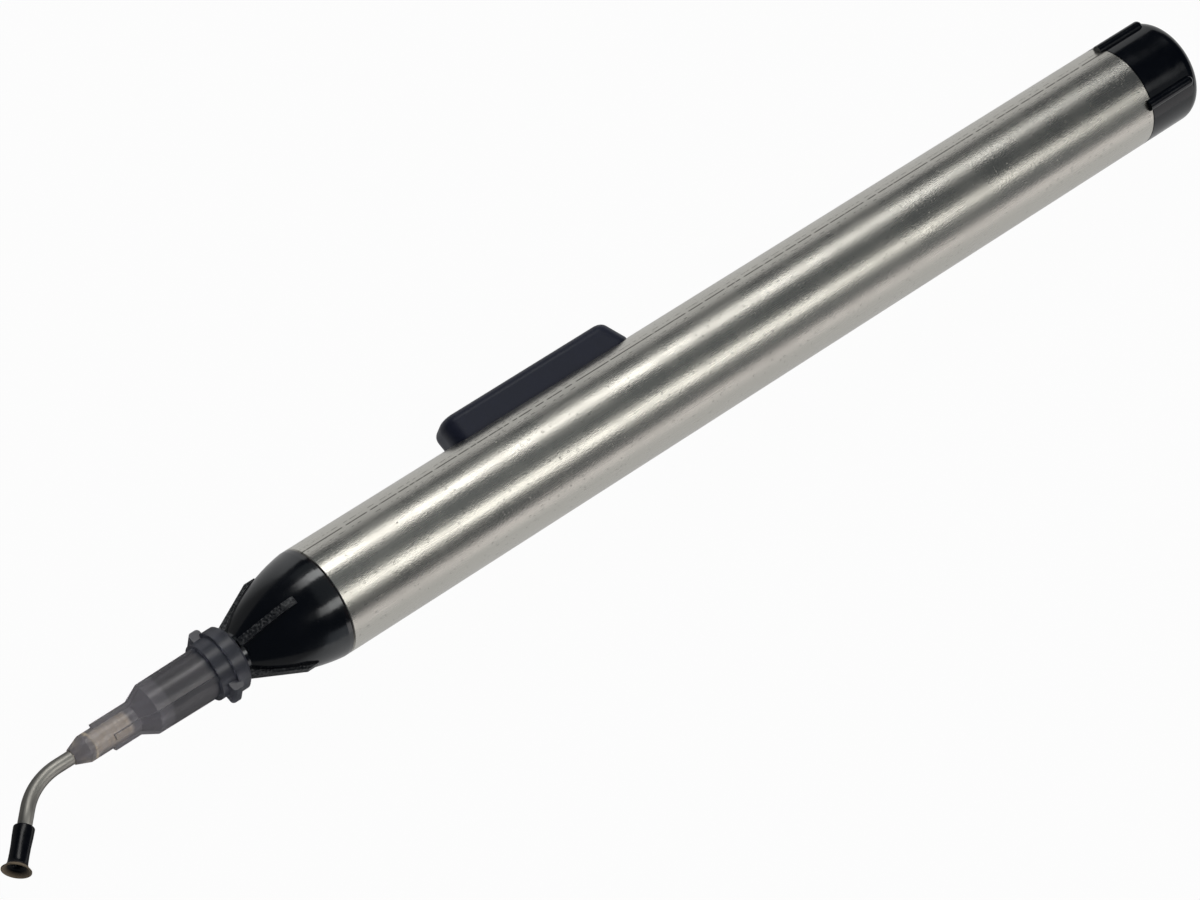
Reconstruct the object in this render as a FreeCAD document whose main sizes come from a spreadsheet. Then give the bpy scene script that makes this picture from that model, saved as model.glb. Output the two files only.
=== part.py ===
import FreeCAD, Part
import Sketcher
import math
import os

from FreeCAD import Placement, Rotation, Vector

# A hand-held vacuum pick up pen: a thin steel barrel with a moulded nose cone and end cap,
# a side button that squeezes a closed rubber tube inside, and a plugged-on dispensing
# needle with a bent tip that carries a small suction cup.
#
# Each piece is drawn about the barrel's axis, with x = 0 at the barrel's nose end, +x towards
# the tail and +z through the middle of the button. The last step rolls the pieces onto the
# surface that the pen lies on and moves the origin to the middle of the end cap's flat face.

doc = FreeCAD.newDocument("vacuum_pick_up_pen")
sheet = doc.addObject("Spreadsheet::Sheet", "Sizes")

DRIVING_SIZES = {
    # Barrel and the slot that the button stands in
    "barrel_length": 112.5,
    "barrel_diameter": 12.0,
    "barrel_wall": 0.4,
    "barrel_edge_break": 0.12,
    # Button
    "button_start": 21.75,
    "button_length": 23.35,
    "button_width": 5.0,
    "button_height": 2.7,
    "button_rear_slope": 23.5,
    "button_end_flat": 1.4,
    "button_top_rounding": 1.0,
    "button_slot_gap": 0.15,
    "button_flange_overhang": 1.2,
    "button_flange_reach": 1.0,
    "button_bore_gap": 0.1,
    # Nose cone, its fins and its slip nose
    "cone_length": 9.9,
    "cone_land": 0.6,
    "cone_curve_radius": 19.6,
    "cone_edge_break": 0.12,
    "fin_width": 0.85,
    "fin_start": 3.9,
    "fin_corner": 5.15,
    "fin_corner_inset": 0.6,
    "fin_end": 10.3,
    "fin_end_height": 0.63,
    "fin_count": 4,
    "slip_nose_end": 19.2,
    "slip_nose_tip_diameter": 4.0,
    "slip_nose_taper": 0.06,
    "slip_nose_edge_break": 0.15,
    "air_bore_diameter": 1.8,
    "spigot_length": 8.0,
    "spigot_gap": 0.03,
    "spigot_lead_in": 0.4,
    "nipple_length": 8.0,
    "nipple_barb_depth": 0.2,
    "nipple_barb_count": 3,
    # Squeeze tube and its plug
    "tube_bore_gap": 0.9,
    "tube_wall": 1.2,
    "tube_length": 50.0,
    "tube_seat_gap": 0.02,
    "tube_end_gap": 0.3,
    "tube_button_gap": 0.2,
    "plug_length": 8.0,
    "plug_head_length": 2.0,
    "plug_bore_gap": 0.1,
    # End cap and its ribs
    "cap_length": 7.8,
    "cap_edge_rounding": 1.8,
    "cap_spigot_length": 8.0,
    "cap_spigot_wall": 1.57,
    "cap_well_depth": 10.0,
    "rib_diameter": 1.25,
    "rib_overhang": 0.6,
    "rib_length": 6.8,
    "rib_count": 4,
    "rib_clocking": 48.18,
    "rib_barrel_gap": 0.03,
    # Needle hub
    "hub_start": 10.65,
    "hub_fit_gap": 0.05,
    "hub_mouth_bevel": 0.3,
    "hub_flange_height": 0.9,
    "hub_flange_end": 12.3,
    "hub_collar_height": 0.5,
    "hub_collar_end": 13.95,
    "hub_body_wall": 0.39,
    "hub_body_taper": 0.15,
    "hub_body_end": 20.9,
    "hub_bore_end": 20.6,
    "hub_throat": 22.7,
    "hub_throat_gap": 0.27,
    "hub_stem_wall": 0.29,
    "hub_stem_start": 22.6,
    "hub_stem_end": 28.4,
    "hub_tip_wall": 0.12,
    "hub_tip": 29.9,
    "hub_fin_clocking": 45.0,
    "hub_fin_width": 0.55,
    "hub_fin_height": 0.25,
    "hub_fin_taper": 0.1,
    "hub_stem_fin_height": 0.35,
    "hub_long_fin_end": 26.9,
    "hub_short_fin_end": 25.6,
    "lug_start": 12.0,
    "lug_length": 1.3,
    "lug_height": 0.35,
    "lug_width": 2.6,
    "lug_corner": 0.4,
    # Needle and the cement that holds it in the hub
    "needle_diameter": 1.46,
    "needle_wall": 0.195,
    "needle_start": 23.0,
    "needle_elbow": 34.5,
    "needle_bend_angle": 45.0,
    "needle_bend_radius": 7.0,
    "needle_bend_clocking": 173.0,
    "bond_start": 23.4,
    "bond_end": 27.6,
    "bond_thickness": 0.42,
    "bond_groove_depth": 0.14,
    "bond_groove_count": 8,
    "bond_gap": 0.01,
    # Suction cup, measured along the needle's bent end from its elbow
    "cup_start": 4.95,
    "cup_lip_plane": 9.62,
    "cup_needle_end": 8.0,
    "cup_top_wall": 0.32,
    "cup_waist_curve": 12.0,
    "cup_neck_wall": 0.27,
    "cup_neck": 8.75,
    "cup_lip_flare": 0.5,
    "cup_lip_thickness": 0.14,
    "cup_hole_step": 0.085,
    "cup_hole_mouth": 9.1,
    "cup_hole_mouth_step": 0.225,
    "cup_top_rounding": 0.22,
}


class Size:
    """A size that knows its number and the sheet expression that drives it."""

    def __init__(self, value, text):
        self.value = value
        self.text = text

    def __add__(self, other):
        return combine(self, "+", other, self.value + size(other).value)

    def __radd__(self, other):
        return size(other) + self

    def __sub__(self, other):
        return combine(self, "-", other, self.value - size(other).value)

    def __rsub__(self, other):
        return size(other) - self

    def __mul__(self, other):
        return combine(self, "*", other, self.value * size(other).value)

    def __rmul__(self, other):
        return size(other) * self

    def __truediv__(self, other):
        return combine(self, "/", other, self.value / size(other).value)

    def __neg__(self):
        return Size(-self.value, f"(0 - {self.text})")


def size(value):
    return value if isinstance(value, Size) else Size(float(value), repr(float(value)))


def combine(left, sign, right, value):
    return Size(value, f"({size(left).text} {sign} {size(right).text})")


def sine(angle):
    return Size(math.sin(math.radians(angle.value)), f"sin({angle.text} * 1 deg)")


def cosine(angle):
    return Size(math.cos(math.radians(angle.value)), f"cos({angle.text} * 1 deg)")


def tangent(angle):
    return Size(math.tan(math.radians(angle.value)), f"tan({angle.text} * 1 deg)")


def arc_cosine(ratio):
    return Size(math.degrees(math.acos(ratio.value)), f"(acos({ratio.text}) / 1 deg)")


def square_root(number):
    return Size(math.sqrt(number.value), f"sqrt({number.text})")


def fill_sheet():
    """Writes the driving sizes to the sheet and returns them by name."""
    sizes = {}
    for row, (name, value) in enumerate(DRIVING_SIZES.items(), start=1):
        sheet.set(f"A{row}", name)
        sheet.set(f"B{row}", str(value))
        sheet.setAlias(f"B{row}", name)
        sizes[name] = Size(float(value), f"Sizes.{name}")
    doc.recompute()
    return sizes


class Names:
    def __init__(self, values):
        self.__dict__.update(values)


S = Names(fill_sheet())

# Sizes that follow from the driving ones
barrel_radius = S.barrel_diameter / 2
bore_radius = barrel_radius - S.barrel_wall
spigot_radius = bore_radius - S.spigot_gap
tube_radius = bore_radius - S.tube_bore_gap
tube_bore_radius = tube_radius - S.tube_wall
nipple_radius = tube_bore_radius - S.tube_seat_gap
air_radius = S.air_bore_diameter / 2
tube_start = S.spigot_length + S.tube_end_gap
tube_end = tube_start + S.tube_length
needle_radius = S.needle_diameter / 2
needle_bore_radius = needle_radius - S.needle_wall
bond_radius = needle_radius + S.bond_thickness
rib_radius = S.rib_diameter / 2
button_end_rounding = (S.button_width - S.button_end_flat) / 2


def slip_radius(station, gap=0.0):
    """Radius of the tapered slip nose at a distance in front of the barrel."""
    return S.slip_nose_tip_diameter / 2 + (S.slip_nose_end - station) * S.slip_nose_taper / 2 + gap


def bind(target, name, value):
    target.setExpression(name, size(value).text)


def add_body(name):
    body = doc.addObject("PartDesign::Body", name)
    body.Label = name
    return body


def add_sketch(body, name, plane):
    """A sketch on one of the body's own origin planes."""
    sketch = body.newObject("Sketcher::SketchObject", f"{body.Name}_{name}")
    for feature in body.Origin.OriginFeatures:
        if feature.Role == plane:
            sketch.AttachmentSupport = (feature, "")
    sketch.MapMode = "FlatFace"
    return sketch


def turn_sketch(sketch, axis, angle):
    """Turns a sketch about the x or z axis of its own plane."""
    direction = Vector(1, 0, 0) if axis == "x" else Vector(0, 0, 1)
    sketch.AttachmentOffset = Placement(Vector(0, 0, 0), Rotation(direction, angle.value))
    sketch.setExpression("AttachmentOffset.Rotation.Angle", f"{angle.text} * 1 deg")


def pin_point(sketch, geometry, vertex, across, up):
    """Holds a sketch point at bound distances from the sketch's origin."""
    for kind, distance in (("DistanceX", size(across)), ("DistanceY", size(up))):
        constraint = Sketcher.Constraint(kind, -1, 1, geometry, vertex, distance.value)
        index = sketch.addConstraint(constraint)
        bind(sketch, f"Constraints[{index}]", distance)


def arc_edge(start, end, radius):
    """The short arc from start to end: its centre is on the left for a positive radius."""
    chord = end - start
    left = Vector(-chord.y, chord.x, 0).normalize()
    height = math.sqrt(radius * radius - (chord.Length / 2) ** 2)
    centre = (start + end) / 2 + left * math.copysign(height, radius)
    first, last = (start, end) if radius > 0 else (end, start)
    angles = [math.atan2(point.y - centre.y, point.x - centre.x) for point in (first, last)]
    if angles[1] < angles[0]:
        angles[1] += 2 * math.pi
    circle = Part.Circle(centre, Vector(0, 0, 1), abs(radius))
    return Part.ArcOfCircle(circle, angles[0], angles[1])


def draw_path(sketch, corners, closed=True):
    """Lines and arcs through the corners. A corner is (across, up) or (across, up, radius): a radius
    makes the run that leaves the corner an arc, with its centre on the left when it is positive."""
    points = [Vector(size(corner[0]).value, size(corner[1]).value, 0) for corner in corners]
    runs = len(corners) if closed else len(corners) - 1
    ends = []
    for index in range(runs):
        start = points[index]
        end = points[(index + 1) % len(points)]
        radius = size(corners[index][2]) if len(corners[index]) > 2 else None
        if radius is None:
            geometry = sketch.addGeometry(Part.LineSegment(start, end), False)
            ends.append((geometry, 1, 2))
        else:
            geometry = sketch.addGeometry(arc_edge(start, end, radius.value), False)
            ends.append((geometry, 1, 2) if radius.value > 0 else (geometry, 2, 1))
    for index in range(runs if closed else runs - 1):
        geometry, _, last = ends[index]
        following, first, _ = ends[(index + 1) % len(ends)]
        sketch.addConstraint(Sketcher.Constraint("Coincident", geometry, last, following, first))
    for index, (geometry, first, last) in enumerate(ends):
        pin_point(sketch, geometry, first, corners[index][0], corners[index][1])
        if len(corners[index]) > 2:
            radius = size(corners[index][2])
            constraint = Sketcher.Constraint("Radius", geometry, abs(radius.value))
            place = sketch.addConstraint(constraint)
            bind(sketch, f"Constraints[{place}]", radius if radius.value > 0 else -radius)
    if not closed:
        geometry, _, last = ends[-1]
        pin_point(sketch, geometry, last, corners[-1][0], corners[-1][1])
    return ends


def draw_circle(sketch, across, up, radius):
    centre = Vector(size(across).value, size(up).value, 0)
    circle = Part.Circle(centre, Vector(0, 0, 1), size(radius).value)
    geometry = sketch.addGeometry(circle, False)
    pin_point(sketch, geometry, 3, across, up)
    place = sketch.addConstraint(Sketcher.Constraint("Radius", geometry, size(radius).value))
    bind(sketch, f"Constraints[{place}]", radius)


def draw_rounded_box(sketch, left, right, half_width, corner):
    """A box along the barrel's axis with quarter-round corners."""
    inner_left = left + corner
    inner_right = right - corner
    flat = half_width - corner
    draw_path(sketch, [
        (inner_left, -half_width),
        (inner_right, -half_width, corner),
        (right, -flat),
        (right, flat, corner),
        (inner_right, half_width),
        (inner_left, half_width, corner),
        (left, flat),
        (left, -flat, corner),
    ])


def revolve(body, name, corners, cut=False, plane="XZ_Plane"):
    """Turns a closed profile of (station, radius) corners once about the barrel's axis."""
    sketch = add_sketch(body, f"{name}_profile", plane)
    draw_path(sketch, corners)
    kind = "PartDesign::Groove" if cut else "PartDesign::Revolution"
    feature = body.newObject(kind, f"{body.Name}_{name}")
    feature.Profile = sketch
    feature.ReferenceAxis = (sketch, ["H_Axis"])
    feature.Angle = 360
    return feature


def extrude(body, name, sketch, length, symmetric=False, cut=False, reverse=False):
    kind = "PartDesign::Pocket" if cut else "PartDesign::Pad"
    feature = body.newObject(kind, f"{body.Name}_{name}")
    feature.Profile = sketch
    bind(feature, "Length", length)
    feature.SideType = "Symmetric" if symmetric else "One side"
    feature.Reversed = reverse
    return feature


def repeat_around(body, name, originals, count, axis_sketch, mode="Features"):
    """Copies features, or the whole shape so far, around the barrel's axis."""
    pattern = body.newObject("PartDesign::PolarPattern", f"{body.Name}_{name}")
    pattern.Originals = originals
    pattern.TransformMode = mode
    pattern.Axis = (axis_sketch, ["H_Axis"])
    pattern.Angle = 360
    bind(pattern, "Occurrences", count)
    body.Tip = pattern
    return pattern


def round_edges(body, name, radius, chosen, kind="PartDesign::Fillet"):
    """Rounds or bevels the edges of the body's last feature that the test picks."""
    doc.recompute()
    base = body.Tip
    picked = [f"Edge{index}" for index, edge in enumerate(base.Shape.Edges, start=1) if chosen(edge)]
    feature = body.newObject(kind, f"{body.Name}_{name}")
    feature.Base = (base, picked)
    bind(feature, "Radius" if kind == "PartDesign::Fillet" else "Size", radius)
    return feature


def near(value, target, slack=0.01):
    return abs(value - size(target).value) < slack


def barb_corners(front, length, count, crest, depth):
    """Saw teeth that let a tube slide on from the tail end and keep it from sliding off."""
    pitch = length / (count + 1)
    corners = [(front, crest - depth)]
    for tooth in range(1, int(count.value) + 1):
        corners.append((front + pitch * tooth, crest - depth))
        corners.append((front + pitch * tooth, crest))
    corners.append((front + length, crest - depth))
    return corners


def make_barrel():
    """A thin drawn tube with a round-cornered slot in its side for the button."""
    body = add_body("barrel")
    bevel = S.barrel_edge_break
    revolve(body, "wall", [
        (bevel, barrel_radius),
        (0, barrel_radius - bevel),
        (0, bore_radius),
        (S.barrel_length, bore_radius),
        (S.barrel_length, barrel_radius - bevel),
        (S.barrel_length - bevel, barrel_radius),
    ])
    slot = add_sketch(body, "slot_outline", "XY_Plane")
    gap = S.button_slot_gap
    draw_rounded_box(
        slot,
        S.button_start - gap,
        S.button_start + S.button_length + gap,
        S.button_width / 2 + gap,
        button_end_rounding + gap,
    )
    extrude(body, "slot", slot, S.barrel_diameter, cut=True, reverse=True)
    return body


def make_nose_cone():
    """The moulded nose: a tapered slip nose, a domed cone with four fins, a spigot that plugs
    the barrel and a barbed nipple for the squeeze tube, all on one air bore."""
    body = add_body("nose_cone")
    tip = S.slip_nose_end
    tip_radius = slip_radius(tip)
    bevel = S.slip_nose_edge_break
    spigot = S.spigot_length
    profile = [
        (-tip, air_radius),
        (-tip, tip_radius - bevel),
        (bevel - tip, tip_radius),
        (-S.cone_length, slip_radius(S.cone_length), -S.cone_curve_radius),
        (-S.cone_land, barrel_radius),
        (-S.cone_edge_break, barrel_radius),
        (0, barrel_radius - S.cone_edge_break),
        (0, spigot_radius),
        (spigot - S.spigot_lead_in, spigot_radius),
        (spigot, spigot_radius - S.spigot_lead_in),
    ]
    profile += barb_corners(
        spigot, S.nipple_length, S.nipple_barb_count, nipple_radius, S.nipple_barb_depth
    )
    profile.append((spigot + S.nipple_length, air_radius))
    revolve(body, "turned_form", profile)
    fin = add_sketch(body, "fin_outline", "XZ_Plane")
    root = (air_radius + tip_radius) / 2
    corner_radius = barrel_radius - S.fin_corner_inset
    draw_path(fin, [
        (-S.fin_start, root),
        (-S.fin_start, corner_radius),
        (-S.fin_corner, corner_radius),
        (-S.fin_end, slip_radius(S.fin_end) + S.fin_end_height),
        (-S.fin_end, root),
    ])
    pad = extrude(body, "fin", fin, S.fin_width, symmetric=True)
    repeat_around(body, "fins", [pad], S.fin_count, fin)
    return body


def make_squeeze_tube():
    """A plain silicone tube: squeezing it drives the air out, and it springs back by itself."""
    body = add_body("squeeze_tube")
    revolve(body, "wall", [
        (tube_start, tube_bore_radius),
        (tube_end, tube_bore_radius),
        (tube_end, tube_radius),
        (tube_start, tube_radius),
    ])
    return body


def make_tube_plug():
    """A barbed plug that closes the tube's tail end and centres it in the barrel."""
    body = add_body("tube_plug")
    front = tube_end - S.plug_length
    head_radius = bore_radius - S.plug_bore_gap
    profile = [(front, 0)]
    for station, radius in reversed(
        barb_corners(-tube_end, S.plug_length, S.nipple_barb_count, nipple_radius, S.nipple_barb_depth)
    ):
        profile.append((-station, radius))
    profile += [
        (tube_end, head_radius),
        (tube_end + S.plug_head_length, head_radius),
        (tube_end + S.plug_head_length, 0),
    ]
    revolve(body, "turned_form", profile)
    return body


def make_button():
    """A push button with a saddle flange that hooks behind the slot and bears on the tube."""
    body = add_body("button")
    start = S.button_start
    end = start + S.button_length
    top = barrel_radius + S.button_height
    foot = bore_radius / 2
    slope = S.button_height * tangent(S.button_rear_slope)
    side = add_sketch(body, "side_outline", "XZ_Plane")
    draw_path(side, [
        (start, foot),
        (end, foot),
        (end, barrel_radius),
        (end - slope, top),
        (start, top),
    ])
    extrude(body, "crown", side, S.button_width, symmetric=True)

    def upright_end_edge(edge):
        lies_across = near(edge.BoundBox.YLength, 0)
        return lies_across and edge.BoundBox.XLength < slope.value + 0.01

    round_edges(body, "end_rounding", button_end_rounding, upright_end_edge)

    half_width = S.button_width / 2 + S.button_flange_overhang
    outer = bore_radius - S.button_bore_gap
    saddle_radius = tube_radius + S.tube_button_gap
    flange = add_sketch(body, "flange_outline", "YZ_Plane")
    shoulder = square_root(outer * outer - half_width * half_width)
    hem = square_root(saddle_radius * saddle_radius - half_width * half_width)
    draw_path(flange, [
        (-half_width, shoulder, -outer),
        (half_width, shoulder),
        (half_width, hem),
        (-half_width, hem),
    ])
    bind(flange, "AttachmentOffset.Base.z", start - S.button_flange_reach)
    extrude(body, "flange", flange, S.button_length + S.button_flange_reach * 2)
    saddle = add_sketch(body, "saddle_outline", "YZ_Plane")
    draw_circle(saddle, 0, 0, saddle_radius)
    extrude(body, "saddle", saddle, S.barrel_length, cut=True, reverse=True)

    def top_edge(edge):
        return near(edge.BoundBox.ZMin, top)

    round_edges(body, "top_rounding", S.button_top_rounding, top_edge)
    return body


def make_end_cap():
    """A moulded plug for the tail with four half-round ribs that keep the pen from rolling away."""
    body = add_body("end_cap")
    seam = S.barrel_length
    front = seam - S.cap_spigot_length
    end = seam + S.cap_length
    rounding = S.cap_edge_rounding
    well = spigot_radius - S.cap_spigot_wall
    well_end = front + S.cap_well_depth
    revolve(body, "turned_form", [
        (front, well),
        (front, spigot_radius - S.spigot_lead_in),
        (front + S.spigot_lead_in, spigot_radius),
        (seam, spigot_radius),
        (seam, barrel_radius),
        (end - rounding, barrel_radius, -rounding),
        (end, barrel_radius - rounding),
        (end, 0),
        (well_end, 0),
        (well_end, well),
    ])
    section = add_sketch(body, "rib_section", "YZ_Plane")
    turn_sketch(section, "z", -S.rib_clocking)
    draw_circle(section, 0, barrel_radius, rib_radius)
    bind(section, "AttachmentOffset.Base.z", seam - S.rib_overhang)
    straight = S.rib_length - rib_radius
    rib = extrude(body, "rib", section, straight)
    nose = body.newObject("PartDesign::AdditiveSphere", "end_cap_rib_nose")
    bind(nose, "Radius", rib_radius)
    bind(nose, "Placement.Base.x", seam - S.rib_overhang + straight)
    bind(nose, "Placement.Base.y", barrel_radius * sine(S.rib_clocking))
    bind(nose, "Placement.Base.z", barrel_radius * cosine(S.rib_clocking))
    axis = add_sketch(body, "rib_axis", "XZ_Plane")
    repeat_around(body, "ribs", [rib, nose], S.rib_count, axis, "Whole shape")
    revolve(body, "rib_relief", [
        (seam - S.rib_overhang * 2, spigot_radius),
        (seam, spigot_radius),
        (seam, barrel_radius + S.rib_barrel_gap),
        (seam - S.rib_overhang * 2, barrel_radius + S.rib_barrel_gap),
    ], cut=True)
    return body


def make_luer_hub():
    """A clear needle hub: a tapered socket on the slip nose, a flange with two lugs, four fins
    along its body and stem, and a socket for the cemented needle."""
    body = add_body("luer_hub")
    mouth = S.hub_start
    bevel = S.hub_mouth_bevel
    gap = S.hub_fit_gap
    body_bore = slip_radius(S.hub_collar_end, gap)
    body_radius = body_bore + S.hub_body_wall
    collar = body_radius + S.hub_collar_height
    flange = body_radius + S.hub_flange_height
    socket = bond_radius + S.bond_gap
    stem = socket + S.hub_stem_wall
    needle_hole = needle_radius + S.bond_gap
    throat = needle_radius + S.hub_throat_gap
    revolve(body, "turned_form", [
        (-mouth, flange - bevel),
        (-(mouth + bevel), flange),
        (-S.hub_flange_end, flange),
        (-S.hub_flange_end, collar),
        (-S.hub_collar_end, collar),
        (-S.hub_collar_end, body_radius),
        (-S.hub_body_end, body_radius - S.hub_body_taper),
        (-S.hub_stem_start, stem),
        (-S.hub_stem_end, stem),
        (-S.hub_tip, needle_hole + S.hub_tip_wall),
        (-S.hub_tip, needle_hole),
        (-S.bond_end, needle_hole),
        (-S.bond_end, socket),
        (-S.bond_start, socket),
        (-S.bond_start, throat),
        (-S.hub_throat, throat),
        (-S.hub_bore_end, slip_radius(S.hub_bore_end, gap)),
        (-mouth, slip_radius(mouth, gap)),
    ])
    body_root = (body_bore + body_radius) / 2
    stem_root = (socket + stem) / 2
    fin_start = (S.hub_flange_end + S.hub_collar_end) / 2
    fin_radius = body_radius + S.hub_fin_height
    stem_fin_radius = stem + S.hub_stem_fin_height
    short_fins = (S.hub_fin_clocking, S.hub_short_fin_end, "short")
    long_fins = (180 - S.hub_fin_clocking, S.hub_long_fin_end, "long")
    for turn, fin_end, kind in (short_fins, long_fins):
        for hand, angle in (("left", turn), ("right", -turn)):
            name = f"{kind}_{hand}_fin"
            fin = add_sketch(body, f"{name}_outline", "XZ_Plane")
            turn_sketch(fin, "x", angle)
            draw_path(fin, [
                (-fin_start, body_root),
                (-fin_start, fin_radius),
                (-S.hub_body_end, fin_radius - S.hub_fin_taper),
                (-S.hub_stem_start, stem_fin_radius),
                (-fin_end, stem_fin_radius),
                (-fin_end, stem_root),
                (-S.hub_stem_start, stem_root),
                (-S.hub_body_end, body_root - S.hub_body_taper),
            ])
            extrude(body, name, fin, S.hub_fin_width, symmetric=True)
    lug_end = S.lug_start + S.lug_length
    lug_radius = flange + S.lug_height
    lug = add_sketch(body, "lug_outline", "XZ_Plane")
    draw_path(lug, [
        (-S.lug_start, body_root),
        (-S.lug_start, lug_radius - S.lug_corner, S.lug_corner),
        (-(S.lug_start + S.lug_corner), lug_radius),
        (-(lug_end - S.lug_corner), lug_radius, S.lug_corner),
        (-lug_end, lug_radius - S.lug_corner),
        (-lug_end, body_root),
    ])
    pad = extrude(body, "lug", lug, S.lug_width, symmetric=True)
    repeat_around(body, "lugs", [pad], 2, lug)
    return body


def make_needle_bond():
    """The ribbed sleeve of amber cement that holds the needle in the hub's stem."""
    body = add_body("needle_bond")
    count = int(S.bond_groove_count.value)
    pitch = (S.bond_end - S.bond_start) / (count * 2 + 1)
    valley = bond_radius - S.bond_groove_depth
    profile = [(-S.bond_end, needle_radius), (-S.bond_end, bond_radius)]
    for groove in range(count):
        left = pitch * (groove * 2 + 1) - S.bond_end
        profile += [
            (left, bond_radius),
            (left, valley),
            (left + pitch, valley),
            (left + pitch, bond_radius),
        ]
    profile += [(-S.bond_start, bond_radius), (-S.bond_start, needle_radius)]
    revolve(body, "ribbed_form", profile)
    return body


def make_needle():
    """A blunt stainless needle, bent once so that the cup can be laid flat on a part."""
    body = add_body("needle")
    angle = S.needle_bend_angle
    reach = S.needle_bend_radius * tangent(angle / 2)
    path = add_sketch(body, "path", "XZ_Plane")
    draw_path(path, [
        (-S.needle_start, 0),
        (-(S.needle_elbow - reach), 0, -S.needle_bend_radius),
        (-(S.needle_elbow + reach * cosine(angle)), reach * sine(angle)),
        (-(S.needle_elbow + S.cup_needle_end * cosine(angle)), S.cup_needle_end * sine(angle)),
    ], closed=False)
    section = add_sketch(body, "section", "YZ_Plane")
    bind(section, "AttachmentOffset.Base.z", -S.needle_start)
    draw_circle(section, 0, 0, needle_radius)
    draw_circle(section, 0, 0, needle_bore_radius)
    pipe = body.newObject("PartDesign::AdditivePipe", "needle_pipe")
    pipe.Profile = section
    pipe.Spine = path
    return body


def make_suction_cup():
    """A soft rubber sleeve on the needle's end with a thin flared lip around the air hole."""
    body = add_body("suction_cup")
    top_radius = needle_radius + S.cup_top_wall
    neck_radius = needle_radius + S.cup_neck_wall
    lip_radius = neck_radius + S.cup_lip_flare
    hole = needle_bore_radius - S.cup_hole_step
    lip = S.cup_lip_plane
    thickness = S.cup_lip_thickness
    rounding = S.cup_top_rounding
    profile = add_sketch(body, "profile", "XZ_Plane")
    turn_sketch(profile, "z", 180 - S.needle_bend_angle)
    bind(profile, "AttachmentOffset.Base.x", -S.needle_elbow)
    draw_path(profile, [
        (S.cup_start, needle_radius),
        (S.cup_start, top_radius - rounding, -rounding),
        (S.cup_start + rounding, top_radius, -S.cup_waist_curve),
        (S.cup_neck, neck_radius, lip - S.cup_neck),
        (lip - thickness, lip_radius),
        (lip, lip_radius),
        (lip, lip_radius - thickness),
        (S.cup_hole_mouth, hole + S.cup_hole_mouth_step),
        (S.cup_hole_mouth, hole),
        (S.cup_needle_end, hole),
        (S.cup_needle_end, needle_radius),
    ])
    feature = body.newObject("PartDesign::Revolution", "suction_cup_form")
    feature.Profile = profile
    feature.ReferenceAxis = (profile, ["H_Axis"])
    feature.Angle = 360
    return body


def place(body, turn):
    """Turns a piece about the barrel's axis and moves the origin to the end cap's flat face."""
    body.Placement = Placement(Vector(0, 0, 0), Rotation(Vector(1, 0, 0), turn.value))
    bind(body, "Placement.Base.x", -(S.barrel_length + S.cap_length))
    body.setExpression("Placement.Rotation.Angle", f"{turn.text} * 1 deg")


def check_document():
    for item in doc.Objects:
        if "Invalid" in item.State or "Error" in item.State:
            raise RuntimeError(f"{item.Name} did not build: {item.State}")


def check_shape(piece):
    shape = piece.Shape
    if shape.isNull() or not shape.isValid() or len(shape.Solids) != 1:
        raise RuntimeError(f"{piece.Label} is not one valid solid")


# The pen lies on its barrel and on the one cap rib that stops it from rolling
stop_angle = arc_cosine((barrel_radius - rib_radius) / barrel_radius)
roll = stop_angle + S.rib_clocking - 180

barrel = make_barrel()
nose_cone = make_nose_cone()
squeeze_tube = make_squeeze_tube()
tube_plug = make_tube_plug()
button = make_button()
end_cap = make_end_cap()
luer_hub = make_luer_hub()
needle_bond = make_needle_bond()
needle = make_needle()
suction_cup = make_suction_cup()

for fixed_piece in (barrel, nose_cone, squeeze_tube, tube_plug, button, end_cap):
    place(fixed_piece, roll)
for tip_piece in (luer_hub, needle_bond, needle, suction_cup):
    place(tip_piece, roll + S.needle_bend_clocking)

doc.recompute()
check_document()

pieces = [
    barrel, nose_cone, squeeze_tube, tube_plug, button,
    end_cap, luer_hub, needle_bond, needle, suction_cup,
]
os.makedirs("parts", exist_ok=True)
for piece in pieces:
    check_shape(piece)
    piece.Shape.exportStep(f"parts/{piece.Label}.step")
print(f"roll about the barrel's axis: {roll.value:.4f} degrees")
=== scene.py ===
import math

import bmesh
import bpy
from bpy.props import FloatProperty, FloatVectorProperty, PointerProperty
from mathutils import Matrix, Vector


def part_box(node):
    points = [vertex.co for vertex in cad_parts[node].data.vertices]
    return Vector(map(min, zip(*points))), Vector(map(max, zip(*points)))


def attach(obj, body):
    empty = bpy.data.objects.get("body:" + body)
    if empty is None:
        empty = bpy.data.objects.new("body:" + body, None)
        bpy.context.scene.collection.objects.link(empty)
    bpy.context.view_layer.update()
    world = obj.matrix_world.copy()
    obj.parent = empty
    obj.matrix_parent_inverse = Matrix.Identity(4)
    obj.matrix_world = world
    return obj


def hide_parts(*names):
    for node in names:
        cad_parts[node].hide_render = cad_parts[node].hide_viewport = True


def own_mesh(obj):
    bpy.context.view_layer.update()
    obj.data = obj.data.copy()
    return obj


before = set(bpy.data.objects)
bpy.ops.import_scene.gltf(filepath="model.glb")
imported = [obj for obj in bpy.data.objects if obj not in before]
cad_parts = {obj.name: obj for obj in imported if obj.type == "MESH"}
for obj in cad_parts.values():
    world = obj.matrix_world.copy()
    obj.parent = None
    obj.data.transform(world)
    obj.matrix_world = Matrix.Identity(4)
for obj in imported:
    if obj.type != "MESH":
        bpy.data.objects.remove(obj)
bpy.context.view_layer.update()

# The looks of a hand-held vacuum pick up pen: bright drawn steel barrel, glossy black nose and cap,
# satin push button, smoky clear needle hub, bent steel needle and a soft suction cup.
#
# The pen lies along X with its nose towards -X, its axis at Y = 0, Z = 0 and the floor below it.

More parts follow.
